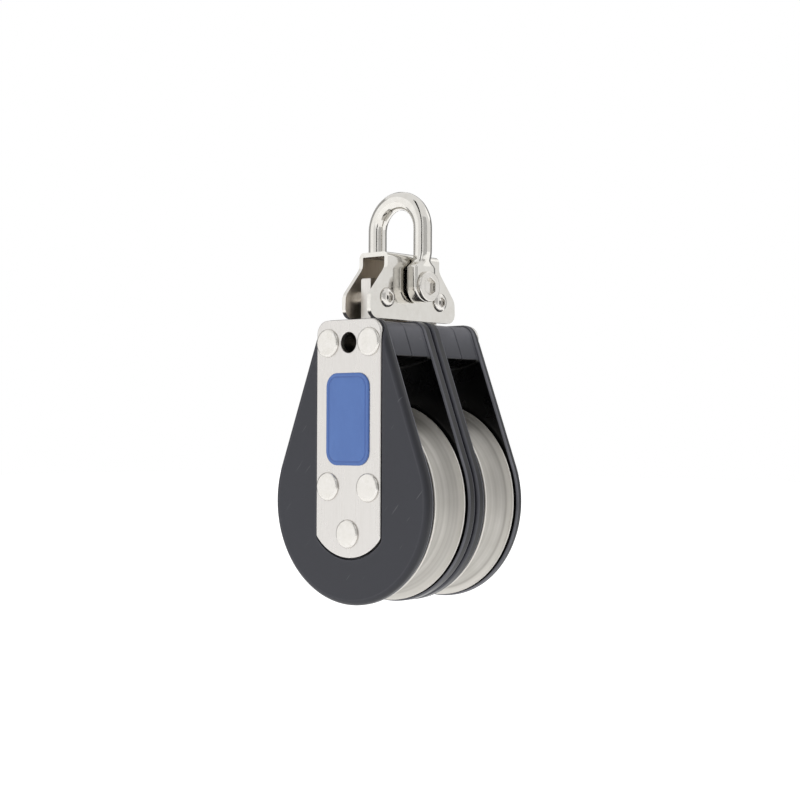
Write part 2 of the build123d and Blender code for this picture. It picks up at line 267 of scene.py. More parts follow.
@dataclass(frozen=True)
class StrapFace(Outline):
    """A strap: straight sides, a round foot about the axle, two top corners."""

    half_width: float = 12.2
    top: float = 51.8
    foot: float = 15.6
    corner: float = 4.0
    foot_corner: float = 0.4

    def distance(self, across: Array, up: Array) -> Array:
        """Distances from the sides, from the round foot and from the top."""
        side = np.abs(across) - self.half_width
        foot = np.hypot(across, np.minimum(up, 0)) - self.foot
        sides = rounded_most(side, foot, self.foot_corner)
        return rounded_most(sides, up - self.top, self.corner)


def quarter(radius: float, steps: int) -> Array:
    """Return (inset, drop) pairs round an edge, from its face to its wall.

    At angle a from 0 to 90 degrees the inset is r (1 - sin a) and the drop is
    r (1 - cos a).

    Args:
        radius: The edge's radius, in mm.
        steps: How many facets the edge has.

    Returns:
        An array of steps + 1 rows, each an inset and a drop in mm.
    """
    turn = np.linspace(0, math.pi / 2, steps + 1)
    return radius * np.column_stack((1 - np.sin(turn), 1 - np.cos(turn)))


def new_object(name: str, data: bpy.types.ID) -> Object:
    """Return an object at the origin that shows a mesh or a camera."""
    new = bpy.data.objects.new(name, data)
    bpy.context.scene.collection.objects.link(new)
    return new


@dataclass
class Loft:
    """A closed shell of rings, with a value for wear and painted light at each point.

    The surface is S(u, v) = point number v of ring number u, and neighbouring
    rings are joined by four-sided faces.  Rings are (n, 3) points in the working
    plane, in mm.  Each finish reads the value in its own way: on the cheeks it
    runs from 0 to 1 for handling wear and painted highlights and is -1 where
    shade is painted, on the sheaves it paints a highlight, and on the badge it
    paints shade.
    """

    place: Place
    rings: list[Array]
    wear_and_light: list[Value]
    ends: Ends = Ends.LOOP

    def shell(self) -> tuple[Array, list[Array], Array]:
        """Work out the shell; a pole is one point at the middle of its ring.

        Returns:
            The points in metres, the faces by their size and each point's wear.
        """
        grid = np.stack(self.rings)
        rows, columns = grid.shape[:2]
        joined = rows if self.ends is Ends.LOOP else rows - 1
        row, column = np.meshgrid(np.arange(joined), np.arange(columns), indexing="ij")
        here, beyond = row * columns, (row + 1) % rows * columns
        beside = (column + 1) % columns
        corners = (here + column, here + beside, beyond + beside, beyond + column)
        faces = [np.stack(corners, axis=-1).reshape(-1, 4)]
        points = grid.reshape(-1, 3)
        worn_and_lit = np.stack([np.broadcast_to(w, columns) for w in self.wear_and_light])
        worn_and_lit = worn_and_lit.astype(float).ravel()
        if self.ends is Ends.POLES:
            first = np.arange(columns)
            last = first + (rows - 1) * columns
            pole = np.full(columns, len(points))
            points = np.vstack((points, grid[0].mean(0), grid[-1].mean(0)))
            worn_and_lit = np.append(worn_and_lit, (worn_and_lit[0], worn_and_lit[-1]))
            faces.append(np.column_stack((np.roll(first, -1), first, pole)))
            faces.append(np.column_stack((last, np.roll(last, -1), pole + 1)))
        return self.place.points(points), faces, worn_and_lit

    def piece(self, name: str, sharp: float = 50.0) -> Object:
        """Make the mesh and its object at the origin, with its faces outwards.

        The shell's volume is the sum over triangles of a . (b x c) / 6, and
        where it is negative every face is turned round.  Points that fall
        together are made one, and an edge is drawn sharp where its faces turn
        by more than the given angle.

        Args:
            name: The piece's name.
            sharp: The angle in degrees.

        Returns:
            The new object.
        """
        points, groups, worn_and_lit = self.shell()
        middle = points.mean(0)
        volume = 0.0
        for group in groups:
            corner = points[group] - middle
            for third in range(2, group.shape[1]):
                turned = np.cross(corner[:, third - 1], corner[:, third])
                volume += float((corner[:, 0] * turned).sum())
        way = 1 if volume > 0 else -1
        faces = [face for group in groups for face in group[:, ::way].tolist()]
        mesh = bpy.data.meshes.new(name)
        mesh.from_pydata(points.tolist(), [], faces)
        attribute = mesh.attributes.new(WEAR_AND_LIGHT, "FLOAT", "POINT")
        attribute.data.foreach_set("value", worn_and_lit.astype(np.float32))
        tidy = bmesh.new()
        tidy.from_mesh(mesh)
        bmesh.ops.remove_doubles(tidy, verts=tidy.verts, dist=MERGED)
        tidy.to_mesh(mesh)
        tidy.free()
        mesh.polygons.foreach_set("use_smooth", [True] * len(mesh.polygons))
        mesh.set_sharp_from_angle(angle=math.radians(sharp))
        return new_object(name, mesh)


@dataclass(frozen=True)
class Rays:
    """Rays from one point, on which the rings of a plate are laid."""

    centre: Spot
    angles: Array

    @classmethod
    def over(cls, outline: Outline, centre: Spot, count: int) -> "Rays":
        """Return rays that share an outline out evenly.

        Half of the rays are spaced by equal turns and half by equal lengths
        along the outline, so both a small hole and the long sides are smooth.

        Args:
            outline: The outline to share out.
            centre: Where the rays start, in mm.
            count: How many rays there are.

        Returns:
            The rays, at rising angles.
        """
        fine = np.linspace(-math.pi, math.pi, FINER * count + 1)
        far = outline.reach(centre, fine)
        steps = np.hypot(np.diff(far * np.cos(fine)), np.diff(far * np.sin(fine)))
        length = np.concatenate(([0.0], np.cumsum(steps)))
        share = (fine + math.pi) / (4 * math.pi) + length / (2 * length[-1])
        kept = np.linspace(0, 1, count, endpoint=False)
        return cls(centre, np.interp(kept, share, fine))

    def to(self, outline: Outline, inset: float = 0.0) -> Array:
        """Return how far each ray runs to an outline, in mm."""
        return outline.reach(self.centre, self.angles, inset)

    def ring(self, reach: Value, depth: Value) -> Array:
        """Return the ring whose points lie at those reaches and depths."""
        shape = self.angles.shape
        across = self.centre[0] + reach * np.cos(self.angles)
        up = self.centre[1] + reach * np.sin(self.angles)
        return np.column_stack((across, up, np.broadcast_to(depth, shape)))

    def rows(self, outline: Outline, *rows: tuple) -> list[Station]:
        """Return the stations of rows, each an inset in an outline, depth and wear."""
        return [(self.to(outline, inset), depth, worn_and_lit) for inset, depth, worn_and_lit in rows]

    def loft(
        self, place: Place, stations: list[Station], ends: Ends = Ends.LOOP
    ) -> Loft:
        """Return the shell with a ring at each station's reach, depth and wear."""
        rings = [self.ring(reach, depth) for reach, depth, _ in stations]
        return Loft(place, rings, [worn_and_lit for *_, worn_and_lit in stations], ends)


def finish_piece(
    piece: Object, body: str, slot: str, material: Material, *nodes: str
) -> None:
    """Dress a new piece and hide the solids that it stands for.

    Args:
        piece: The new object.
        body: The body that it moves with.
        slot: Not used.
        material: Its material.
        nodes: The solids that it stands for.
    """
    piece.data.materials.clear()
    piece.data.materials.append(material)
    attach(piece, body)
    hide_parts(*nodes)
    LOG.info("%s: %d faces", piece.name, len(piece.data.polygons))


# Finishes ---------------------------------------------------------------------


def linear(colour: str) -> tuple[float, float, float, float]:
    """Return the linear colour of an sRGB hex value such as "#1f2022".

    A channel c above 0.04045 becomes ((c + 0.055) / 1.055) ** 2.4, and a
    darker one c / 12.92.
    """
    channels = [int(colour[i : i + 2], 16) / 255 for i in (1, 3, 5)]
    red, green, blue = (
        c / 12.92 if c <= 0.04045 else ((c + 0.055) / 1.055) ** 2.4 for c in channels
    )
    return red, green, blue, 1.0


def per_metre(size: float) -> float:
    """Return the texture scale whose features are that many mm apart."""
    return 1 / (size * MM)


def add_node(tree: Tree, kind: str, inputs: dict, **choices: str | bool) -> Node:
    """Add one node with its settings and links.

    Args:
        tree: The material's node tree.
        kind: The node's type.
        inputs: For an input's name or number, its value, its hex colour or the
            socket that is linked to it.
        choices: The node's own options.

    Returns:
        The new node.
    """
    node = tree.nodes.new(kind)
    for option, value in choices.items():
        setattr(node, option, value)
    for name, value in inputs.items():
        if isinstance(value, Socket):
            tree.links.new(value, node.inputs[name])
        else:
            plain = linear(value) if isinstance(value, str) else value
            node.inputs[name].default_value = plain
    return node


@dataclass(frozen=True)
class Finish:
    """What every finish has: a name, a colour and how it takes the light."""

    name: str
    colour: str
    roughness: float
    metallic: float = 0.0
    smoother: float = 0.05
    rougher: float = 0.06

    def build(self) -> Material:
        """Return the material: its plain values, then its own pattern."""
        material = bpy.data.materials.new(self.name)
        material.use_nodes = True
        material.diffuse_color = linear(self.colour)
        shader = material.node_tree.nodes["Principled BSDF"]
        shader.inputs["Base Color"].default_value = linear(self.colour)
        shader.inputs["Roughness"].default_value = self.roughness
        shader.inputs["Metallic"].default_value = self.metallic
        self.pattern(material.node_tree, shader)
        return material

    def pattern(self, tree: Tree, shader: Node) -> None:
        """Add the finish's own pattern to its shader."""
        raise NotImplementedError

    def grain(self, tree: Tree, size: Size, detail: float, lean: float = 0.0) -> Socket:
        """Return noise whose features have a size in mm along each axis.

        Args:
            tree: The material's node tree.
            size: The features' sizes in mm.
            detail: How many finer layers are added.
            lean: How far the pattern is turned about Y first, in degrees.

        Returns:
            The noise, around a half.
        """
        source = add_node(tree, "ShaderNodeTexCoord", {}).outputs["Object"]
        for change in (
            {"Rotation": (0.0, math.radians(lean), 0.0)},
            {"Scale": tuple(per_metre(s) for s in size)},
        ):
            mapped = add_node(tree, "ShaderNodeMapping", {"Vector": source, **change})
            source = mapped.outputs[0]
        settings = {"Vector": source, "Scale": 1.0, "Detail": detail, "Roughness": 0.6}
        return add_node(tree, "ShaderNodeTexNoise", settings).outputs["Fac"]

    def shares(self, tree: Tree, source: Socket, *ranges: tuple) -> list[Socket]:
        """Return a value for each range, such as a mix's share or a roughness.

        Args:
            tree: The material's node tree.
            source: The noise or wear that the values follow.
            ranges: For each value (a, b, c, d), where it runs from c to d as
                the source goes from a to b.

        Returns:
            One socket for each range.
        """
        names = ("From Min", "From Max", "To Min", "To Max")
        return [
            add_node(
                tree, "ShaderNodeMapRange", {"Value": source, **dict(zip(names, span))}
            ).outputs["Result"]
            for span in ranges
        ]

    def uneven(self) -> tuple:
        """Return the range that takes a noise onto the uneven roughness."""
        return *CLOUD, self.roughness - self.smoother, self.roughness + self.rougher

    def layered(self, tree: Tree, *layers: tuple[Socket, str]) -> Socket:
        """Return the finish's colour with each layer laid over it by its share."""
        shade = self.colour
        for share, colour in layers:
            shade = add_node(
                tree, "ShaderNodeMix", {0: share, 6: shade, 7: colour}, data_type="RGBA"
            ).outputs[2]
        return shade

    def link(
        self, tree: Tree, shader: Node, shade: Socket, rough: Socket,
        *heights: tuple[Socket, float],
    ) -> None:
        """Give the shader its patterns.

        Args:
            tree: The material's node tree.
            shader: Its main shader.
            shade: The colour.
            rough: The roughness.
            heights: Reliefs laid one over the other, each with its depth in mm.
        """
        tree.links.new(shade, shader.inputs["Base Color"])
        tree.links.new(rough, shader.inputs["Roughness"])
        normal: dict = {}
        for height, depth in heights:
            raised = {"Strength": 1.0, "Distance": depth * MM, "Height": height}
            bump = add_node(tree, "ShaderNodeBump", {**raised, **normal})
            normal = {"Normal": bump.outputs["Normal"]}
        tree.links.new(normal["Normal"], shader.inputs["Normal"])


@dataclass(frozen=True)
class MouldedNylon(Finish):
    """Glass-filled nylon, injection moulded in a spark-eroded tool.

    The eye gets a near-black satin skin with a fine even grain, paler edges
    that are partly handling wear and partly a painted highlight, a painted
    highlight towards the crown's top, painted near-black shade on the rims, the
    inner walls and under the crown, and a few hairline scuffs.
    """

    second_colour: str = "#2a2b32"
    highlight_and_wear_colour: str = "#68686e"
    scuff_colour: str = "#5b5b5e"
    painted_shade_colour: str = "#020203"
    gloss: float = 0.38
    grain_size: Size = (0.28, 0.28, 0.28)
    grain_depth: float = 0.012
    cloud_size: Size = (14.0, 14.0, 14.0)
    least_rubbed_and_lit: float = 0.35
    scuff_size: Size = (0.4, 4.0, 8.0)
    scuff_lean: float = -42.0
    scuff_range: tuple = (0.785, 0.84, 0.0, 0.6)
    scuff_depth: float = 0.01
    sheltered_roughness: float = -0.16

    def pattern(self, tree: Tree, shader: Node) -> None:
        """Clouded colour, edges paler from wear and a painted highlight, scuffs, and painted
        shade on sheltered faces.
        """
        fine = self.grain(tree, self.grain_size, 2.0)
        broad = self.grain(tree, self.cloud_size, 3.0)
        scuff = self.grain(tree, self.scuff_size, 0.5, self.scuff_lean)
        wear_and_light = add_node(tree, "ShaderNodeAttribute", {}, attribute_name=WEAR_AND_LIGHT)
        worn_and_lit = wear_and_light.outputs["Fac"]
        tone, patchy, rough = self.shares(
            tree, broad, (*CLOUD, 0.0, 1.0), (*CLOUD, self.least_rubbed_and_lit, 1.0), self.uneven()
        )
        [mark] = self.shares(tree, scuff, self.scuff_range)
        # Where the wear-and-light value falls below 0, the colour turns to painted
        # near-black shade and the skin gets smoother.
        [shelter_and_shade] = self.shares(tree, worn_and_lit, (-1.0, 0.0, 1.0, 0.0))
        # Paler edges and crown top: handling wear and a painted highlight, patchy with the
        # broad noise.
        rubbed_and_lit = add_node(
            tree, "ShaderNodeMath", {0: worn_and_lit, 1: patchy}, operation="MULTIPLY"
        )
        even = add_node(
            tree, "ShaderNodeMath", {0: shelter_and_shade, 1: self.sheltered_roughness, 2: rough},
            operation="MULTIPLY_ADD", use_clamp=True,
        )
        shade = self.layered(
            tree, (tone, self.second_colour), (rubbed_and_lit.outputs[0], self.highlight_and_wear_colour),
            (mark, self.scuff_colour), (shelter_and_shade, self.painted_shade_colour),
        )
        shader.inputs["Specular IOR Level"].default_value = self.gloss
        relief = (fine, self.grain_depth), (mark, self.scuff_depth)
        self.link(tree, shader, shade, even.outputs[0], *relief)


@dataclass(frozen=True)
class RolledSteel(Finish):
    """Stainless sheet, rolled and brushed along its length before blanking.

    The eye gets a pale satin metal with fine upright strokes and soft cloudy
    patches where the strokes lie closer.
    """

    dull_colour: str = "#cac7c3"
    stroke_size: Size = (0.22, 0.22, 16.0)
    stroke_depth: float = 0.0008
    cloud_size: Size = (6.0, 6.0, 22.0)

    def pattern(self, tree: Tree, shader: Node) -> None:
        """Duller strokes, and patches that differ in roughness."""
        strokes = self.grain(tree, self.stroke_size, 4.0)
        [tone] = self.shares(tree, strokes, (*CLOUD, 0.0, 1.0))
        cloud = self.grain(tree, self.cloud_size, 3.0)
        [rough] = self.shares(tree, cloud, self.uneven())
        shade = self.layered(tree, (tone, self.dull_colour))
        self.link(tree, shader, shade, rough, (strokes, self.stroke_depth))


@dataclass(frozen=True)
class PolishedSteel(Finish):
    """Stainless steel, tumbled and mirror polished after forming.

    The eye gets bright metal with sharp dark reflections, softened by fine
    handling scratches and a slight waviness left by the wheel.
    """

    dull_colour: str = "#d3d0ca"
    wave_size: Size = (4.5, 4.5, 4.5)
    wave_depth: float = 0.006
    scratch_size: Size = (0.12, 2.5, 1.1)
    scratch_depth: float = 0.0003
    cloud_size: Size = (2.2, 2.2, 2.2)
    rough_span: Spot = (0.3, 0.75)
    rough_shares: Spot = (0.6, 1.5)

    def pattern(self, tree: Tree, shader: Node) -> None:
        """Waves and scratches, and patches that differ in tone and roughness."""
        waves = self.grain(tree, self.wave_size, 1.0)
        scratches = self.grain(tree, self.scratch_size, 3.0)
        cloud = self.grain(tree, self.cloud_size, 3.0)
        least, most = (self.roughness * share for share in self.rough_shares)
        rough, tone = self.shares(
            tree, cloud, (*self.rough_span, least, most), (*CLOUD, 0.0, 1.0)
        )
        shade = self.layered(tree, (tone, self.dull_colour))
        relief = (waves, self.wave_depth), (scratches, self.scratch_depth)
        self.link(tree, shader, shade, rough, *relief)


@dataclass(frozen=True)
class TurnedAlloy(Finish):
    """Aluminium alloy, turned, bead blasted and clear anodised.

    The eye gets an even warm grey with a soft sheen that follows the groove,
    faint rings left by the tool round the axis, and a painted highlight along
    the rims.  The middle is in metres.
    """

    second_colour: str = "#b1aea8"
    ring_colour: str = "#a29f99"
    rim_highlight_colour: str = "#cbc8c2"
    ring_spacing: float = 1.3
    ring_depth: float = 0.005
    ring_span: Spot = (0.35, 0.7)
    blast_size: Size = (0.3, 0.3, 0.3)
    blast_depth: float = 0.004
    cloud_size: Size = (9.0, 9.0, 9.0)
    middle: tuple = (0.0, 0.0, 0.0)
    rougher: float = 0.05

    def rings(self, tree: Tree) -> Socket:
        """Return noise in (radius, depth) about the Y axis through the middle."""
        where = add_node(tree, "ShaderNodeTexCoord", {})
        centred = add_node(
            tree, "ShaderNodeVectorMath",
            {0: where.outputs["Object"], 1: self.middle}, operation="SUBTRACT",
        )
        parts = add_node(tree, "ShaderNodeSeparateXYZ", {0: centred.outputs[0]}).outputs
        flat = add_node(
            tree, "ShaderNodeCombineXYZ", {"X": parts["X"], "Z": parts["Z"]}
        )
        radius = add_node(
            tree, "ShaderNodeVectorMath", {0: flat.outputs[0]}, operation="LENGTH"
        )
        profile = add_node(
            tree, "ShaderNodeCombineXYZ", {"X": radius.outputs["Value"], "Y": parts["Y"]}
        )
        scale = per_metre(self.ring_spacing)
        settings = {"Vector": profile.outputs[0], "Scale": scale, "Detail": 2.0}
        return add_node(tree, "ShaderNodeTexNoise", settings).outputs["Fac"]

    def pattern(self, tree: Tree, shader: Node) -> None:
        """Tool rings and blasting, with a painted highlight along the rims."""
        rings = self.rings(tree)
        blast = self.grain(tree, self.blast_size, 2.0)
        cloud = self.grain(tree, self.cloud_size, 3.0)
        [tone] = self.shares(tree, cloud, (*CLOUD, 0.0, 1.0))
        ring, rough = self.shares(
            tree, rings, (*self.ring_span, 0.0, 1.0), self.uneven()
        )
        # The wear-and-light value paints a highlight along the rims.
        wear_and_light = add_node(tree, "ShaderNodeAttribute", {}, attribute_name=WEAR_AND_LIGHT)
        shade = self.layered(
            tree, (tone, self.second_colour), (ring, self.ring_colour),
            (wear_and_light.outputs["Fac"], self.rim_highlight_colour),
        )
        relief = (rings, self.ring_depth), (blast, self.blast_depth)
        self.link(tree, shader, shade, rough, *relief)


@dataclass(frozen=True)
class MouldedPlastic(Finish):
    """A small moulding or turning in acetal or a filled plastic.

    The eye gets a quiet satin surface with a slight unevenness of tone.
    """

    second_colour: str = "#808080"
    edge_shade_colour: str = ""
    grain_size: Size = (0.35, 0.35, 0.35)
    grain_depth: float = 0.006
    cloud_size: Size = (5.0, 5.0, 9.0)
    smoother: float = 0.04
    rougher: float = 0.05

    def pattern(self, tree: Tree, shader: Node) -> None:
        """Clouded colour over a fine grain, and painted shade on its edges where an edge
        shade colour is given.
        """
        fine = self.grain(tree, self.grain_size, 2.0)
        broad = self.grain(tree, self.cloud_size, 3.0)
        [tone] = self.shares(tree, broad, (*CLOUD, 0.0, 1.0))
        [rough] = self.shares(tree, fine, self.uneven())
        layers = [(tone, self.second_colour)]
        # Painted shade along the edges and the sunk border line, from the wear-and-light
        # value.
        if self.edge_shade_colour:
            wear_and_light = add_node(tree, "ShaderNodeAttribute", {}, attribute_name=WEAR_AND_LIGHT)
            layers.append((wear_and_light.outputs["Fac"], self.edge_shade_colour))
        shade = self.layered(tree, *layers)
        self.link(tree, shader, shade, rough, (fine, self.grain_depth))


# Pieces of the block ----------------------------------------------------------


@dataclass(frozen=True)
class Frame:
    """Where the main axes of the block are, read from the solids."""

    axle: Vector
    pin: Vector

    @classmethod
    def read(cls) -> "Frame":
        """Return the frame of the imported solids."""
        low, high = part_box("front_sheave")
        pin_low, pin_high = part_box("shackle_pin")
        return cls(
            Vector((0, 0, (low.z + high.z) / 2)),
            Vector((0, 0, (pin_low.z + pin_high.z) / 2)),
        )

    def plate(self, side: float) -> Place:
        """Return the plane on the axle that faces front (-1) or rear (1)."""
        return Place(
            self.axle, Vector((1, 0, 0)), Vector((0, 0, 1)), Vector((0, side, 0))
        )

    def sideways(self, origin: Vector) -> Place:
        """Return the plane at a point that faces right along X, as the pin does."""
        return Place(origin, Vector((0, 1, 0)), Vector((0, 0, 1)), Vector((1, 0, 0)))


@dataclass
class Cheeks:
    """The four moulded cheeks, each with its half of the crown block."""

    frame: Frame
    outline: Teardrop = Teardrop()
    crown: CrownSection = CrownSection(Teardrop())
    pocket: StrapFace = StrapFace(12.35, 52.15, 16.1)
    becket: Spot = (0.0, 45.3)
    hole: float = 3.55
    seam: float = 11.3
    seam_chamfer: float = 0.3
    outer_inside: float = 19.0
    outer_outside: float = 21.9
    outer_round: float = 1.5
    rim: float = 0.041
    pocket_floor: float = 20.75
    lip_drop: float = 0.2
    pocket_rings: tuple = (0.0, 0.15, 0.25, 0.85)
    inner_inside: float = 0.5
    inner_outside: float = 3.6
    inner_round: float = 0.7
    sheave_chamfer: float = 0.4
    crown_limit: float = 0.55
    flare: float = 1.1
    flare_rings: int = 8
    flare_crowding: float = 1.4
    underside_band: float = 0.3
    least_top_light: float = 0.1
    rays_count: int = 720

    def rays(self) -> Rays:
        """Return the rays from the becket hole that every ring is laid on."""
        return Rays.over(self.outline, self.becket, self.rays_count)

    def crown_half(self, rays: Rays, wall: float, sign: float) -> list[Station]:
        """Return the stations of a crown half, from its cheek to the seam.

        Close to the cheek the crown flares out by r - sqrt(r^2 - (r - t)^2) at
        a distance t from the wall, which fills the corner with a round.  A highlight
        is painted towards its top, growing by the square of the height's share, and
        shade is painted on a band under it, in the seam's groove and in the hole.

        Args:
            rays: The rays to lay the rings on.
            wall: Depth of the cheek's face that the crown grows from.
            sign: 1 where the crown grows outwards from the wall, else -1.

        Returns:
            The reach, depth and wear of each ring.
        """
        limit = rays.to(self.outline, self.crown_limit)
        bottom = rays.ring(rays.to(self.crown), 0.0)
        arc = self.crown.underside_arc
        radius = np.hypot(bottom[:, 0], bottom[:, 1] - self.crown.underside - arc)
        # Painted shade on a band along the crown's underside.
        shaded_underside = radius > arc - self.underside_band
        low, high = self.crown.underside, self.outline.top
        share = (bottom[:, 1] - low) / (high - low)
        # Painted highlight that grows towards the crown's top, where light falls from above.
        top_light = np.clip(share, self.least_top_light, 1) ** 2
        stations = []
        for step in np.linspace(0, 1, self.flare_rings) ** self.flare_crowding:
            away = self.flare * step
            left = self.flare**2 - (self.flare - away) ** 2
            grown = self.flare - math.sqrt(max(left, 0))
            reach = np.minimum(rays.to(self.crown, -grown), limit)
            worn_and_lit = np.where(shaded_underside, -1.0, top_light)
            stations.append((reach, wall + sign * away, worn_and_lit))
        # A slight painted highlight on the seam's chamfer, painted shade in the seam's
        # groove and in the hole.
        chamfer = self.seam_chamfer
        for inset, back, rubbed_and_lit in (  # back is the distance from the seam
            (0.0, chamfer + 0.6, 0.0),
            (0.0, chamfer + 0.08, 0.2),
            (0.0, chamfer, 0.2),
            (chamfer, 0.0, -0.6),
            (chamfer + 0.08, 0.0, 0.0),
        ):
            reach = np.minimum(rays.to(self.crown, inset), limit)
            worn_and_lit = np.where(shaded_underside, -1.0, np.maximum(top_light, rubbed_and_lit))
            stations.append((reach, self.seam - sign * back, worn_and_lit))
        return [*stations, (self.hole, self.seam, -1.0)]

    def face_depth(self, rays: Rays, reach: Array) -> Array:
        """Return the depth of the outer cheek's face, never under the pocket.

        At a distance t inside the outline the rounded edge stands
        sqrt(r^2 - (r - t)^2) over its start.

        Args:
            rays: The rays that the face is laid on.
            reach: How far along each ray, in mm.

        Returns:
            The depth in mm on each ray.
        """
        across, up, _ = rays.ring(reach, 0.0).T
        inside = np.clip(-self.outline.distance(across, up), 0, self.outer_round)
        rise = np.sqrt(self.outer_round**2 - (self.outer_round - inside) ** 2)
        start = self.outer_outside - self.outer_round
        return np.maximum(start + rise, self.pocket_floor)

    def outer(self, half: str) -> Object:
        """Build an outer cheek: pocketed face, rounded edge, crown half.

        The pocket's wall is cut off where it meets the rounded edge.  A ring
        keeps the wear-and-light value of the last one wherever the two coincide.

        Args:
            half: "front" or "rear".

        Returns:
            The new piece.
        """
        rays = self.rays()
        floor, bend = self.pocket_floor, self.outer_round
        rim = rays.to(self.outline, self.rim)
        pocket, lip, clear, far = (
            np.minimum(rays.to(self.pocket, -beyond), rim)
            for beyond in self.pocket_rings
        )
        # The pocket's lip is painted paler than the face.
        rows = [
            (pocket - 0.8, floor, 0.0),
            (pocket - 0.06, floor, 0.0),
            (pocket, floor, 0.0),
            (pocket, np.maximum(self.face_depth(rays, lip) - self.lip_drop, floor), 0.0),
            *(
                (reach, self.face_depth(rays, reach), rubbed_and_lit)
                for reach, rubbed_and_lit in ((lip, 0.5), (clear, 0.1), (far, 0.0))
            ),
        ]
        # A thin painted highlight at the face's edge, fading into painted shade round the
        # edge towards the rim.
        for inset, rubbed_and_lit in (
            *((bend + more, 0.0) for more in (6.0, 3.0, 1.0, 0.3)),
            (bend + 0.1, 0.1),
            *((i, 0.1 - 0.6 * (1 - i / bend)) for i, _ in quarter(bend, 10)[:-1]),
        ):
            reach = np.clip(rays.to(self.outline, inset), far, rim)
            rows.append((reach, self.face_depth(rays, reach), rubbed_and_lit))
        stations = [(self.hole, floor, 0.0)]
        for reach, depth, rubbed_and_lit in rows:
            last, _, worn_and_lit = stations[-1]
            same = reach - last < SAME_RING
            stations.append((reach, depth, np.where(same, worn_and_lit, rubbed_and_lit)))
        edge, wall = self.outer_outside - bend, self.outer_inside
        chamfer = self.sheave_chamfer
        # Painted shade on the rim, a painted highlight on the chamfer by the sheave, then
        # painted shade on the inner wall.
        stations += rays.rows(
            self.outline,
            (0.0, edge, -0.5),
            (0.0, edge - 0.1, -0.55),
            (0.0, wall + chamfer + 0.45, -0.55),
            (0.0, wall + chamfer + 0.2, 0.9),
            (0.0, wall + chamfer, 1.0),
            (chamfer, wall, 0.6),
            (chamfer + 0.1, wall, -1.0),
        )
        stations += self.crown_half(rays, wall, -1.0)
        shell = rays.loft(self.frame.plate(HALVES[half]), stations)
        return shell.piece(f"{half}_outer_cheek_moulding")

    def inner(self, half: str) -> Object:
        """Build an inner cheek: a plate with a rounded edge and its crown half."""
        rays = self.rays()
        flat, wall = self.inner_inside, self.inner_outside
        edge, chamfer = self.inner_round, self.sheave_chamfer
        stations = [(self.hole, flat, 0.0)]
        # A painted highlight on the rounded edge and on the chamfer by the sheave, painted
        # shade on the rim and the inner wall.
        stations += rays.rows(
            self.outline,
            (edge + 0.1, flat, 0.0),
            *((inset, flat + drop, 0.3) for inset, drop in quarter(edge, 7)),
            (0.0, flat + edge + 0.1, -0.9),
            (0.0, wall - chamfer - 0.45, -0.9),
            (0.0, wall - chamfer - 0.2, 0.5),
            (0.0, wall - chamfer, 0.9),
            (chamfer, wall, 0.6),
            (chamfer + 0.1, wall, -1.0),
        )
        stations += self.crown_half(rays, wall, 1.0)
        shell = rays.loft(self.frame.plate(HALVES[half]), stations)
        return shell.piece(f"{half}_inner_cheek_moulding")

    def build(self, finish: Material) -> None:
        """Build and dress all four cheeks."""
        for half in HALVES:
            for kind, piece in (("outer", self.outer(half)), ("inner", self.inner(half))):
                node = f"{half}_{kind}_cheek"
                finish_piece(piece, "block", "black_nylon", finish, node)


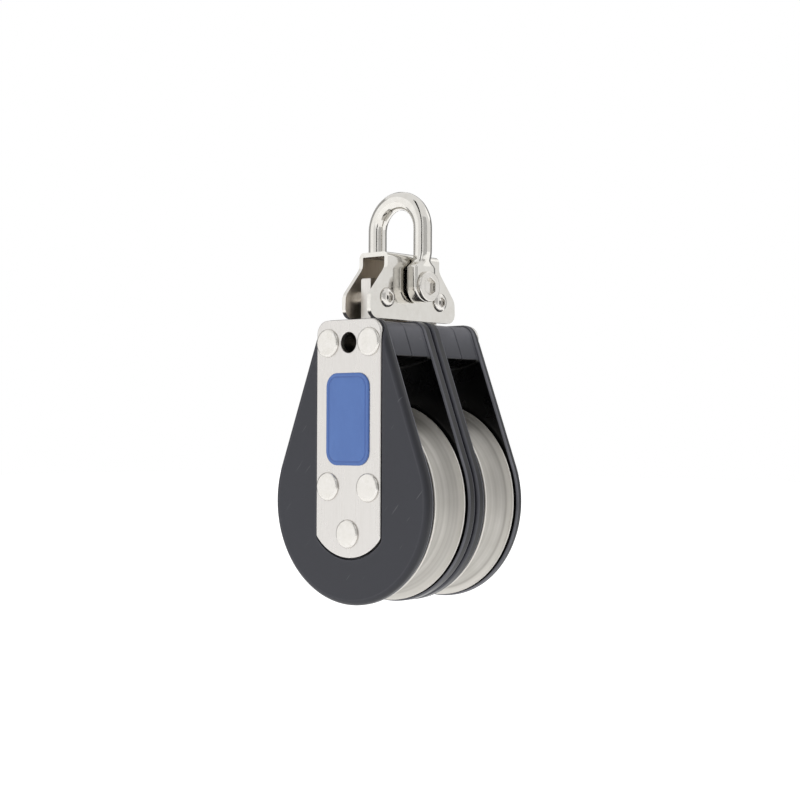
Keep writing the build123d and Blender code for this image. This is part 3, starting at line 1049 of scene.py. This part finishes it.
@dataclass
class Straps:
    """The two side straps with their badges."""

    frame: Frame
    face: StrapFace = StrapFace()
    becket: Spot = (0.0, 45.3)
    hole: float = 2.95
    inside: float = 20.75
    outside: float = 22.25
    inner_edge: float = 0.12
    edge_round: float = 0.35
    badge: RoundedPanel = RoundedPanel(16.1, 26.2, 4.0, (0.0, 23.6))
    badge_thickness: float = 0.5
    badge_round: float = 0.3
    border: float = 1.0
    border_depth: float = 0.12
    rays_count: int = 640

    def strap(self, half: str) -> Object:
        """Build a strap: a plate with rounded edges and the becket hole."""
        rays = Rays.over(self.face, self.becket, self.rays_count)
        top, edge, corner = self.outside, self.edge_round, self.inner_edge
        plate = rays.rows(
            self.face,
            (corner, self.inside, 0.0),
            (0.0, self.inside + corner, 0.0),
            (0.0, top - edge - 0.1, 0.3),
            *((inset, top - drop, 1.0) for inset, drop in quarter(edge, 6)[::-1]),
            *((inset, top, 0.0) for inset in (edge + 0.08, 1.2, 3.0)),
        )
        rim = ((0.5, 0.0), (0.2, 0.0), (0.06, 0.06), (0.0, 0.2))
        stations = [
            (self.hole, self.inside, 0.0),
            *plate,
            *((self.hole + more, top - drop, 0.5) for more, drop in rim),
        ]
        shell = rays.loft(self.frame.plate(HALVES[half]), stations)
        return shell.piece(f"{half}_side_strap_plate")

    def label(self, half: str) -> Object:
        """Build a badge: a panel with a rounded edge and a sunk border line."""
        rays = Rays.over(self.badge, self.badge.at, self.rays_count // 2)
        top, line = self.outside + self.badge_thickness, self.border
        sunk, edge = top - self.border_depth, quarter(self.badge_round, 6)[::-1]
        # Wear-and-light values paint shade on the badge's rounded edge and in its sunk
        # border line.
        stations = rays.rows(
            self.badge,
            (2.0, self.outside, 0.0),
            (0.0, self.outside, 0.0),
            (0.0, self.outside + 0.02, 0.5),
            (0.0, top - self.badge_round - 0.03, 0.5),
            *((inset, top - drop, 0.5) for inset, drop in edge),
            (line - 0.22, top, 0.0),
            (line - 0.12, top - 0.03, 0.6),
            (line, sunk, 1.0),
            (line + 0.18, sunk, 1.0),
            (line + 0.30, top - 0.03, 0.6),
            (line + 0.42, top, 0.0),
            (3.2, top, 0.0),
            (6.5, top, 0.0),
        )
        shell = rays.loft(self.frame.plate(HALVES[half]), stations, Ends.POLES)
        return shell.piece(f"{half}_badge_panel")

    def build(self, steel: Material, blue: Material) -> None:
        """Build and dress both straps and both badges."""
        for half in HALVES:
            strap, label = self.strap(half), self.label(half)
            finish_piece(strap, "block", "rolled_stainless", steel, f"{half}_side_strap")
            finish_piece(label, "block", "blue_badge", blue, f"{half}_badge")


def lathe(profile: Array, steps: int, middle: Spot = (0.0, 0.0)) -> list[Array]:
    """Return the rings of a turned shape, S(u, v) = (r cos v, r sin v, d).

    Args:
        profile: Rows of (r, d) in mm.
        steps: How many points each ring has.
        middle: Where the axis crosses the working plane, in mm.

    Returns:
        One ring for each row of the profile.
    """
    turn = np.linspace(0, 2 * math.pi, steps, endpoint=False)
    around = np.column_stack((np.cos(turn), np.sin(turn)))
    return [
        np.column_stack((middle + radius * around, np.full(steps, depth)))
        for radius, depth in profile
    ]


@dataclass
class Rivets:
    """Five rivets through the whole block, with a low domed head each end."""

    frame: Frame
    shank: float = 2.0
    seat: float = 22.25
    head: float = 4.1
    height: float = 0.9
    edge_round: float = 0.75
    dome: float = 0.12
    lift: float = 0.03
    steps: int = 64
    crown: Spot = (7.8, 45.3)
    hub_circle: float = 8.8

    def spots(self) -> dict[str, Spot]:
        """Return each rivet's node and where its axis is, in mm."""
        across, up = self.crown
        spots = {"crown_rivet_left": (-across, up), "crown_rivet_right": (across, up)}
        for place, angle in (("right", 30), ("left", 150), ("bottom", 270)):
            turn = math.radians(angle)
            spots[f"hub_rivet_{place}"] = (
                self.hub_circle * math.cos(turn), self.hub_circle * math.sin(turn)
            )
        return spots

    def profile(self) -> Array:
        """Return a head's (r, d) rows, from its middle to its shank.

        The dome falls by k (r / R)^2 to a quarter round at the head's edge.
        """
        top = self.seat + self.height
        flat = self.head - self.edge_round
        radii = np.linspace(0.05, flat, 7)
        dome = np.column_stack((radii, top - self.dome * (radii / flat) ** 2))
        edge = (self.head, top - self.dome) - quarter(self.edge_round, 7)[1:]
        edge[:, 1] = np.maximum(edge[:, 1], self.seat + self.lift)
        under = ((self.head - self.lift, self.seat), (self.shank, self.seat))
        return np.vstack((dome, edge, under))

    def build(self, finish: Material) -> None:
        """Build and dress the five rivets."""
        head = self.profile()
        rows = np.vstack((head, head[::-1] * (1, -1)))
        for node, spot in self.spots().items():
            rings = lathe(rows, self.steps, spot)
            shell = Loft(self.frame.plate(-1.0), rings, [0.0] * len(rows), Ends.POLES)
            piece = shell.piece(f"{node}_turned")
            finish_piece(piece, "block", "fastener_stainless", finish, node)


@dataclass
class Sheaves:
    """Two turned sheaves, each with a round rope groove."""

    frame: Frame
    radius: float = 28.5
    half_width: float = 6.7
    bore: float = 15.8
    floor: float = 23.5
    groove: float = 6.25
    rim_round: float = 0.25
    recess: Spot = (19.6, 25.6)
    recess_depth: float = 0.8
    recess_edge: float = 0.05
    retainer_seat: Spot = (18.0, 5.7)
    ball_circle: float = 14.6
    track: float = 2.5
    highlight_rows: int = 5
    rim_rows: int = 6
    steps: int = 288

    def profile(self) -> tuple[Array, list[float]]:
        """Return the closed (r, d) profile and how worn each row is.

        The groove is r = R0 - g cos a, d = g sin a about its centre radius R0,
        and the balls' track is r = B + t cos a, d = t sin a.

        Returns:
            The profile's rows, once round the section, and the painted highlight of each.
        """
        centre = self.floor + self.groove
        limit = math.acos((centre - self.radius) / self.groove)
        turn = np.linspace(-limit, limit, 45)
        groove = np.column_stack(
            (centre - self.groove * np.cos(turn), self.groove * np.sin(turn))
        )
        half, edge = self.half_width, self.recess_edge
        low, high = self.recess
        seat, shoulder = self.retainer_seat
        deep = half - self.recess_depth
        side = np.vstack(
            (
                (self.radius, float(groove[-1, 1]) + edge),
                (self.radius, half) - quarter(self.rim_round, 4)[:, ::-1],
                (high + edge, half), (high, half - edge), (high, deep),
                (low, deep), (low, half - edge), (low - edge, half),
                (seat, half), (seat, shoulder), (self.bore, shoulder),
            )
        )
        swing = math.acos((self.bore - self.ball_circle) / self.track)
        bend = np.linspace(swing, -swing, 13)
        track = np.column_stack(
            (self.ball_circle + self.track * np.cos(bend), self.track * np.sin(bend))
        )
        rows = np.vstack((groove, side, track, side[::-1] * (1, -1)))
        # A painted highlight along the groove's top rows and the rims beside it.
        wear_and_light = np.zeros(len(rows))
        rubbed_and_lit = np.linspace(1.0, 0.6, self.highlight_rows)
        wear_and_light[: self.highlight_rows] = rubbed_and_lit
        wear_and_light[len(groove) - self.highlight_rows : len(groove)] = rubbed_and_lit[::-1]
        wear_and_light[len(groove) : len(groove) + self.rim_rows] = 1.0
        wear_and_light[-self.rim_rows :] = 1.0
        return rows, wear_and_light.tolist()

    def build(self, finish: Material) -> None:
        """Build and dress both sheaves."""
        rows, wear_and_light = self.profile()
        for half, side in HALVES.items():
            low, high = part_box(f"{half}_sheave")
            plate = self.frame.plate(side)
            middle = Vector((0, (low.y + high.y) / 2, self.frame.axle.z))
            place = Place(middle, plate.across, plate.up, plate.outward)
            shell = Loft(place, lathe(rows, self.steps), wear_and_light)
            piece, body = shell.piece(f"{half}_sheave_turned"), f"{half}_sheave_body"
            finish_piece(piece, body, "sheave_alloy", finish, f"{half}_sheave")


@dataclass
class Saddle:
    """The saddle: sheet folded to an upside-down U over the head lugs."""

    frame: Frame
    half_width: float = 5.46
    sheet: float = 1.35
    top: float = 71.8
    bottom: float = 52.4
    bend: float = 1.6
    outline: tuple[Spot, ...] = ((52.4, 19.2), (59.0, 18.9), (67.3, 11.6), (71.8, 11.6))
    foot_corner: float = 3.2
    knee_blend: float = 1.1
    edge_round: float = 0.22
    edge_angle: float = 60.0
    columns: int = 41

    def half_length(self, up: Array) -> Array:
        """Return how far the flange reaches from its middle at a height.

        Straight runs between the corners are averaged over a short height, so
        the knee and the shoulder come out round.  At the foot a quarter circle
        takes away R - sqrt(R^2 - (R - t)^2) at a height t over the edge.

        Args:
            up: Heights over the axle, in mm.

        Returns:
            The half length in mm at each height.
        """
        heights, lengths = np.array(self.outline).T
        offsets = np.linspace(-self.knee_blend, self.knee_blend, 21)
        spread = np.clip(up[:, None] + offsets, heights[0], None)
        length = np.interp(spread, heights, lengths).mean(1)
        over = np.clip(self.foot_corner - (up - self.bottom), 0, self.foot_corner)
        return length - self.foot_corner + np.sqrt(self.foot_corner**2 - over**2)

    def fold(self) -> tuple[Array, Array]:
        """Return the fold's line: across and up, in mm.

        It runs up one flange, round a quarter circle, over the top and down
        the other flange.
        """
        rise = (1 - np.cos(np.linspace(0, math.pi / 2, 18))) * self.foot_corner
        straight = np.linspace(self.bottom + self.foot_corner, self.top - self.bend, 60)
        flange = np.concatenate((self.bottom + rise, straight[1:]))
        turn = np.linspace(0, math.pi / 2, 11)[1:]
        across = self.half_width - self.bend * (1 - np.cos(turn))
        across = np.concatenate((np.full_like(flange, self.half_width), across))
        up = np.concatenate((flange, self.top - self.bend * (1 - np.sin(turn))))
        return np.concatenate((across, -across[::-1])), np.concatenate((up, up[::-1]))

    def build(self, finish: Material, inside: Material) -> None:
        """Build and dress the saddle.

        The sheet is S(s, t) = (X(s), t L(Z(s)), Z(s)), with X and Z the fold's
        line and L the flange's half length; then it gets its thickness.
        """
        across, up = self.fold()
        share = np.linspace(-1, 1, self.columns)
        along = share[None, :] * self.half_length(up)[:, None]
        grid = np.stack(
            np.broadcast_arrays(across[:, None], along, up[:, None]), axis=-1
        )
        rows, columns = along.shape
        row, column = np.meshgrid(
            np.arange(rows - 1), np.arange(columns - 1), indexing="ij"
        )
        first = row * columns + column
        corners = (first, first + columns, first + columns + 1, first + 1)
        quads = np.stack(corners, axis=-1).reshape(-1, 4)
        points = np.array(self.frame.axle) + MM * grid.reshape(-1, 3)
        mesh = bpy.data.meshes.new("head_saddle_folded")
        mesh.from_pydata(points.tolist(), [], quads.tolist())
        mesh.attributes.new(WEAR_AND_LIGHT, "FLOAT", "POINT")
        mesh.polygons.foreach_set("use_smooth", [True] * len(mesh.polygons))
        middle = mesh.polygons[(rows // 2) * (columns - 1) + columns // 2]
        if middle.normal.z < 0:
            mesh.flip_normals()
        piece = new_object("head_saddle_folded", mesh)
        wall = piece.modifiers.new("sheet", "SOLIDIFY")
        wall.thickness = self.sheet * MM
        wall.offset = -1.0
        wall.use_even_offset = True
        wall.material_offset = 1
        edge = piece.modifiers.new("edge", "BEVEL")
        edge.width = self.edge_round * MM
        edge.segments = 3
        edge.limit_method = "ANGLE"
        edge.angle_limit = math.radians(self.edge_angle)
        edge.harden_normals = True
        finish_piece(piece, "block", "polished_stainless", finish, "head_saddle")
        # The inner face gets the mill finish with its painted warm reflection.
        piece.data.materials.append(inside)


def socketed(
    place: Place, socket: Hexagon, count: int, rows: list[tuple[Outline, float, float]]
) -> Loft:
    """Return the shell of a turned part with a socket in its head.

    Args:
        place: The working plane, on the part's axis.
        socket: The socket's outline.
        count: How many points each ring has.
        rows: For each ring an outline, the inset from it and the depth, in mm.

    Returns:
        The closed shell.
    """
    rays = Rays.over(socket, (0.0, 0.0), count)
    stations = [(rays.to(line, inset), depth, 0.0) for line, inset, depth in rows]
    return rays.loft(place, stations, Ends.POLES)


def eased(share: Array) -> Array:
    """Return s^2 (3 - 2 s) of a share held between 0 and 1."""
    share = np.clip(share, 0, 1)
    return share * share * (3 - 2 * share)


@dataclass
class Shackle:
    """The bow, flattened to an eye at each end, and its socket-headed pin."""

    frame: Frame
    rod: float = 2.7
    leg: float = 8.7
    bow_height: float = 79.1
    eye_half_width: float = 4.6
    eye_middle: float = 8.2
    eye_half_thickness: float = 2.2
    eye_rise: float = 6.5
    eye_power: float = 5.0
    shoulder: float = 2.4
    slower: float = 2.2
    pin: float = 2.5
    pin_end: float = 10.4
    pin_chamfer: float = 0.3
    head: float = 4.4
    head_thickness: float = 1.3
    head_round: float = 0.35
    socket: float = 4.5
    socket_depth: float = 1.1
    pin_points: int = 144
    pin_sharp: float = 38.0
    bow_points: int = 72
    bow_sharp: float = 40.0
    eye_reach: float = 3.5

    def bow(self) -> Object:
        """Build the bow as superellipse sections carried along a U.

        A section is (a |cos v|^(2/n), b |sin v|^(2/n)) with its signs.  Down
        each leg the power n and the half sizes a and b turn smoothly from the
        round rod into the flat eye, and below the pin b is
        sqrt(B^2 - t^2) at a distance t under the pin's axis.

        Returns:
            The new piece.
        """
        pin, half = (self.frame.pin.z - self.frame.axle.z) / MM, self.eye_half_width
        under = half * np.sin(np.linspace(math.pi / 2, 0, 17))[:-1]
        eye = np.linspace(pin, pin + self.eye_rise + self.eye_reach, 36)
        upper = np.linspace(eye[-1], self.bow_height, 14)[1:]
        rise = np.concatenate((pin - under * 0.9999, eye, upper))
        flat = np.zeros_like(rise)
        turn = np.linspace(0, math.pi, 61)[1:-1]
        outward_x = np.concatenate((flat - 1, -np.cos(turn), flat + 1))
        outward_z = np.concatenate((flat, np.sin(turn), flat))
        arch = self.bow_height + self.leg * np.sin(turn)
        height = np.concatenate((rise, arch, rise[::-1]))
        over = height - (pin + self.eye_rise - self.shoulder / 2)
        rod, slow = eased(over / self.shoulder), eased(over / (self.slower * self.shoulder))
        radius = self.eye_middle + (self.leg - self.eye_middle) * slow
        thick = self.eye_half_thickness + (self.rod - self.eye_half_thickness) * slow
        below = np.clip(pin - height, 0, half)
        wide = np.where(
            below > 0, np.sqrt(half**2 - below**2), half + (self.rod - half) * rod
        )
        exponent = (2 / (self.eye_power + (2.0 - self.eye_power) * rod))[:, None]
        v = np.linspace(0, 2 * math.pi, self.bow_points, endpoint=False)
        cosine, sine = np.cos(v)[None, :], np.sin(v)[None, :]
        out = thick[:, None] * np.sign(cosine) * np.abs(cosine) ** exponent
        side = wide[:, None] * np.sign(sine) * np.abs(sine) ** exponent
        x = (radius * outward_x)[:, None] + out * outward_x[:, None]
        z = height[:, None] + out * outward_z[:, None]
        rings = list(np.stack((side, z, x), axis=-1))
        place = self.frame.sideways(self.frame.axle)
        shell = Loft(place, rings, [0.0] * len(rings), Ends.POLES)
        return shell.piece("shackle_bow_forged", self.bow_sharp)

    def bolt(self) -> Object:
        """Build the pin: plain shank, round flat head, hexagon socket."""
        socket, shank, head = Hexagon(self.socket), Circle(self.pin), Circle(self.head)
        end, top = self.pin_end, self.pin_end + self.head_thickness
        rim = quarter(self.head_round, 5)[::-1]
        rows = [
            (Circle(self.pin - self.pin_chamfer), 0.0, -end),
            (shank, 0.0, self.pin_chamfer - end),
            (shank, 0.0, end),
            (Circle(self.head - 0.1), 0.0, end + 0.02),
            (head, 0.0, end + 0.12),
            *((head, inset, top - drop) for inset, drop in rim),
            (head, self.head_round + 0.1, top),
            (socket, -0.3, top),
            (socket, -0.22, top),
            (socket, -0.06, top - 0.08),
            (socket, 0.0, top - 0.25),
            (socket, 0.0, top - self.socket_depth),
            (socket, 1.2, top - self.socket_depth),
        ]
        place = self.frame.sideways(self.frame.pin)
        shell = socketed(place, socket, self.pin_points, rows)
        return shell.piece("shackle_pin_turned", self.pin_sharp)

    def build(self, bow: Material, pin: Material) -> None:
        """Build and dress the bow and the pin."""
        for piece, finish, node in (
            (self.bow(), bow, "shackle_bow"), (self.bolt(), pin, "shackle_pin")
        ):
            finish_piece(piece, "shackle", "polished_stainless", finish, node)


@dataclass
class CrossScrews:
    """The two button-headed screws that hold the lugs in the saddle."""

    frame: Frame
    seat: float = 5.46
    head: float = 2.85
    height: float = 1.1
    rim: float = 0.12
    shank: float = 1.5
    shank_end: float = -2.76
    socket: float = 2.5
    socket_corner: float = 0.08
    socket_depth: float = 0.9
    land: float = 0.25
    points: int = 96
    sharp: float = 38.0

    def screw(self, half: str) -> Object:
        """Build one screw; its head's dome is h cos(a), r sin(a)."""
        socket = Hexagon(self.socket, self.socket_corner)
        top = self.seat + self.height
        land = self.socket / 2 / math.cos(math.radians(30)) + self.land
        swing = np.linspace(math.pi / 2, math.asin(land / self.head), 9)
        start, rise = self.seat + self.rim, (self.height - self.rim) / math.cos(swing[-1])
        dome = [(Circle(self.head * math.sin(a)), start + rise * math.cos(a)) for a in swing]
        rows = [
            (Circle(self.shank), 0.0, self.shank_end),
            (Circle(self.shank), 0.0, self.seat),
            (Circle(self.head - 0.08), 0.0, self.seat + 0.02),
            *((line, 0.0, depth) for line, depth in dome),
            (socket, -0.12, top),
            (socket, -0.03, top - 0.05),
            (socket, 0.0, top - 0.12),
            (socket, 0.0, top - self.socket_depth),
            (socket, 0.7, top - self.socket_depth - 0.2),
        ]
        low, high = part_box(f"{half}_cross_screw")
        middle = (low + high) / 2
        place = self.frame.sideways(Vector((0, middle.y, middle.z)))
        shell = socketed(place, socket, self.points, rows)
        return shell.piece(f"{half}_cross_screw_turned", self.sharp)

    def build(self, finish: Material) -> None:
        """Build and dress both screws."""
        for half in HALVES:
            node = f"{half}_cross_screw"
            finish_piece(self.screw(half), "block", "fastener_stainless", finish, node)


@dataclass
class InnerParts:
    """The solids that keep their own shape and only get a finish."""

    nodes: dict[str, Object]

    def dress(self, finish: Material, *names: str) -> None:
        """Give solids a finish."""
        for name in names:
            solid = self.nodes[name]
            solid.data.materials.clear()
            solid.data.materials.append(finish)
            LOG.info("%s keeps its solid's shape", name)


# Studio -----------------------------------------------------------------------


@dataclass
class Studio:
    """White tent, pale floor, soft boxes, dark cards and the camera."""

    frame: Frame
    azimuth: float = 40.549
    elevation: float = -1.197
    roll: float = 0.233
    distance: float = 479.10
    aim_up: float = 29.421
    aim_right: float = 0.224
    lens: float = 73.60
    sensor: float = 36.0
    clip: Spot = (0.01, 20.0)  # m
    floor_drop: float = 150.0
    floor_reach: float = 6.0  # m
    floor_glow: float = 0.35
    tent: float = 1.0
    card_rise: float = 20.0
    cards: tuple = (
        ("dark_gap", (28.0, 4.0, 0.98), (0.20, 1.4), 0.0),
        ("dark_top", (28.0, 58.0, 1.0), (0.2, 0.75), 0.0),
        ("dark_back", (228.0, 0.0, 0.96), (0.20, 1.7), 0.2),
        ("grey_right", (73.0, 0.0, 1.0), (0.9, 1.5), 0.6),
        ("soft_high", (150.0, 34.0, 1.0), (0.5, 0.4), 1.4),
        ("grey_back", (187.0, 0.0, 1.0), (1.25, 1.5), 0.3),
        ("grey_left", (272.0, 0.0, 1.0), (0.9, 1.5), 0.45),
        ("soft_box", (-38.0, 12.0, 1.1), (0.9, 1.3), 1.25),
    )

    def direction(self, azimuth: float, elevation: float) -> Vector:
        """Return the unit vector from the block at an azimuth and elevation."""
        turn, tilt = math.radians(azimuth), math.radians(elevation)
        level = math.cos(tilt)
        return Vector((math.sin(turn) * level, -math.cos(turn) * level, math.sin(tilt)))

    def camera(self) -> None:
        """Place the camera and make it the scene's own."""
        back = self.direction(self.azimuth, self.elevation)
        turn, roll = math.radians(self.azimuth), math.radians(self.roll)
        right = Vector((math.cos(turn), math.sin(turn), 0))
        up = back.cross(right)
        aim = Vector((0, 0, self.aim_up)) + self.aim_right * right
        data = bpy.data.cameras.new("camera")
        data.sensor_width = self.sensor
        data.lens = self.lens
        data.clip_start, data.clip_end = self.clip
        side = math.cos(roll) * right + math.sin(roll) * up
        top = -math.sin(roll) * right + math.cos(roll) * up
        camera = new_object("camera", data)
        camera.matrix_world = Matrix.Translation(
            self.frame.axle + MM * aim + self.distance * MM * back
        ) @ Matrix((side, top, back)).transposed().to_4x4()
        bpy.context.scene.camera = camera

    def world(self) -> None:
        """Make the even white tent that surrounds the block."""
        world = bpy.data.worlds.new("tent")
        world.use_nodes = True
        sky = world.node_tree.nodes["Background"]
        sky.inputs["Color"].default_value = linear("#ffffff")
        sky.inputs["Strength"].default_value = self.tent
        bpy.context.scene.world = world
        bpy.context.scene.view_settings.view_transform = "Standard"

    def card(self, name: str, place: tuple, size: tuple, glow: float) -> None:
        """Stand a card round the block that the camera doesn't see.

        It shows in reflections, and one brighter than the tent also lights the
        block, as a soft box does.

        Args:
            name: The card's name.
            place: Its azimuth and elevation in degrees, and distance in m.
            size: Its width and height in m.
            glow: How bright it is; 0 is black.
        """
        azimuth, elevation, distance = place
        back = self.direction(azimuth, elevation)
        rise = Vector((0, 0, self.card_rise * MM))
        middle = self.frame.axle + rise + distance * back
        right = back.cross(Vector((0, 0, 1))).normalized()
        half = 0.5 * np.array([(-1, -1), (1, -1), (1, 1), (-1, 1)]) * np.array(size)
        points = np.array(middle) + half @ np.array([right, right.cross(back)])
        mesh = bpy.data.meshes.new(name)
        mesh.from_pydata(points.tolist(), [], [(0, 1, 2, 3)])
        material = bpy.data.materials.new(name)
        material.use_nodes = True
        tree = material.node_tree
        tree.nodes.clear()
        light = {"Color": "#ffffff", "Strength": glow}
        shine = add_node(tree, "ShaderNodeEmission", light)
        add_node(tree, "ShaderNodeOutputMaterial", {"Surface": shine.outputs[0]})
        mesh.materials.append(material)
        card = new_object(name, mesh)
        card.visible_camera = False
        card.visible_diffuse = glow > self.tent
        card.visible_shadow = False
        card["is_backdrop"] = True

    def floor(self) -> None:
        """Lay the plain pale floor some way under the block."""
        low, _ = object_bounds()
        level, reach = low.z - self.floor_drop * MM, self.floor_reach
        sides = ((-reach, -reach), (reach, -reach), (reach, reach), (-reach, reach))
        mesh = bpy.data.meshes.new("floor")
        mesh.from_pydata([(x, y, level) for x, y in sides], [], [(0, 1, 2, 3)])
        material = bpy.data.materials.new("pale_floor")
        material.use_nodes = True
        shader = material.node_tree.nodes["Principled BSDF"]
        for name, value in (
            ("Base Color", linear("#fafafa")),
            ("Roughness", 0.9),
            ("Specular IOR Level", 0.0),
            ("Emission Color", linear("#ffffff")),
            ("Emission Strength", self.floor_glow),
        ):
            shader.inputs[name].default_value = value
        mesh.materials.append(material)
        floor = new_object("floor", mesh)
        floor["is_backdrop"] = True

    def build(self) -> None:
        """Set up the whole studio."""
        self.camera()
        self.world()
        self.floor()
        for card in self.cards:
            self.card(*card)


def main() -> None:
    """Build the block's looks and the studio round it."""
    logging.basicConfig(level=logging.INFO, format="%(name)s: %(message)s")
    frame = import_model()
    axes = Frame.read()

    nylon = MouldedNylon("moulded_black_nylon", "#26272e", 0.44).build()
    strap = RolledSteel("rolled_brushed_stainless", "#d1cecb", 0.27, 1.0).build()
    polished = PolishedSteel("polished_stainless", "#d9d7d2", 0.12, 1.0).build()
    rivet = PolishedSteel(
        "headed_stainless", "#d9d6d2", 0.20, 1.0, wave_depth=0.002
    ).build()
    # Inner face of the saddle: a mill finish, its warm tint a painted reflection of the
    # brownish tone seen inside the saddle.
    inside = RolledSteel(
        "mill_finish_stainless_painted_reflection", "#dcd5cb", 0.36, 1.0, dull_colour="#cdc5ba"
    ).build()
    lug = RolledSteel("machined_stainless", "#d6d3ce", 0.32, 1.0).build()
    race = PolishedSteel("ground_race_stainless", "#c9c6c1", 0.18, 1.0).build()
    alloy = TurnedAlloy(
        "anodised_turned_alloy", "#bbb8b3", 0.46, 0.8, middle=tuple(axes.axle)
    ).build()
    blue = MouldedPlastic(
        "moulded_blue_badge", "#4263a0", 0.42,
        second_colour="#4668a5", edge_shade_colour="#3d5b99",
    ).build()
    ivory = MouldedPlastic(
        "ivory_acetal_balls", "#e6e0cf", 0.3, second_colour="#dcd5c2"
    ).build()
    acetal = MouldedPlastic(
        "black_acetal", "#18181a", 0.38, second_colour="#212124"
    ).build()

    Cheeks(axes).build(nylon)
    Straps(axes).build(strap, blue)
    Rivets(axes).build(rivet)
    Sheaves(axes).build(alloy)
    Saddle(axes).build(polished, inside)
    Shackle(axes).build(polished, rivet)
    CrossScrews(axes).build(rivet)
    inner = InnerParts(frame["nodes"])
    for half in HALVES:
        inner.dress(rivet, f"{half}_barrel_nut")
        inner.dress(lug, f"{half}_head_lug")
        inner.dress(race, f"{half}_inner_race")
        inner.dress(ivory, f"{half}_ball_set")
        retainers = (f"{half}_{side}_ball_retainer" for side in ("outer", "inner"))
        inner.dress(acetal, *retainers)
    inner.dress(strap, "centre_strap")
    inner.dress(rivet, "becket_sleeve")

    Studio(axes).build()


if __name__ == "__main__":
    main()
